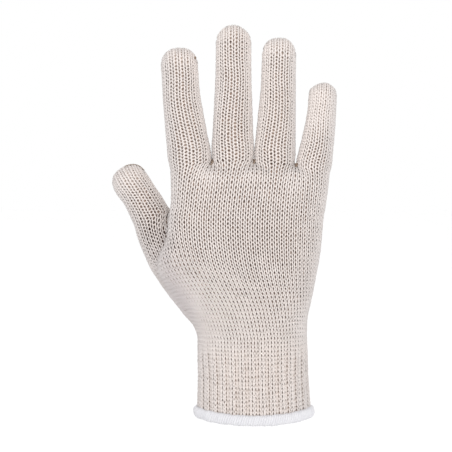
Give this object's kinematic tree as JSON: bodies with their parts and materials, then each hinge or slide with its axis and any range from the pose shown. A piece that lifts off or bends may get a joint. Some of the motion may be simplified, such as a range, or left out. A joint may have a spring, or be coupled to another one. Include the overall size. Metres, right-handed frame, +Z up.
{
  "type": "knitted cotton work glove",
  "caption": "Seamless knitted cotton work glove in its worn shape, with a ribbed cuff and a white overlocked hem; hollow, open at the wrist.",
  "frame": {"origin": "middle of the wrist opening, at the level where the hem's lower edge meets the arm at the sides", "axes": "+Z up along the hand to the fingertips, -Y out of the back of the hand, +X towards the little finger"},
  "size_m": [0.1416, 0.0536, 0.2452],
  "materials": {
    "cotton_knit": "undyed cream cotton yarn, plain knit with small dark gaps, matt and slightly fuzzy",
    "hem_thread": "fluffy white overlock thread"
  },
  "bodies": {
    "root": {"hand": "cotton_knit", "index_stall": "cotton_knit", "middle_stall": "cotton_knit", "ring_stall": "cotton_knit", "little_stall": "cotton_knit", "thumb_stall": "cotton_knit", "rib_cuff": "cotton_knit", "overlock_hem": "hem_thread"}
  },
  "joints": []
}
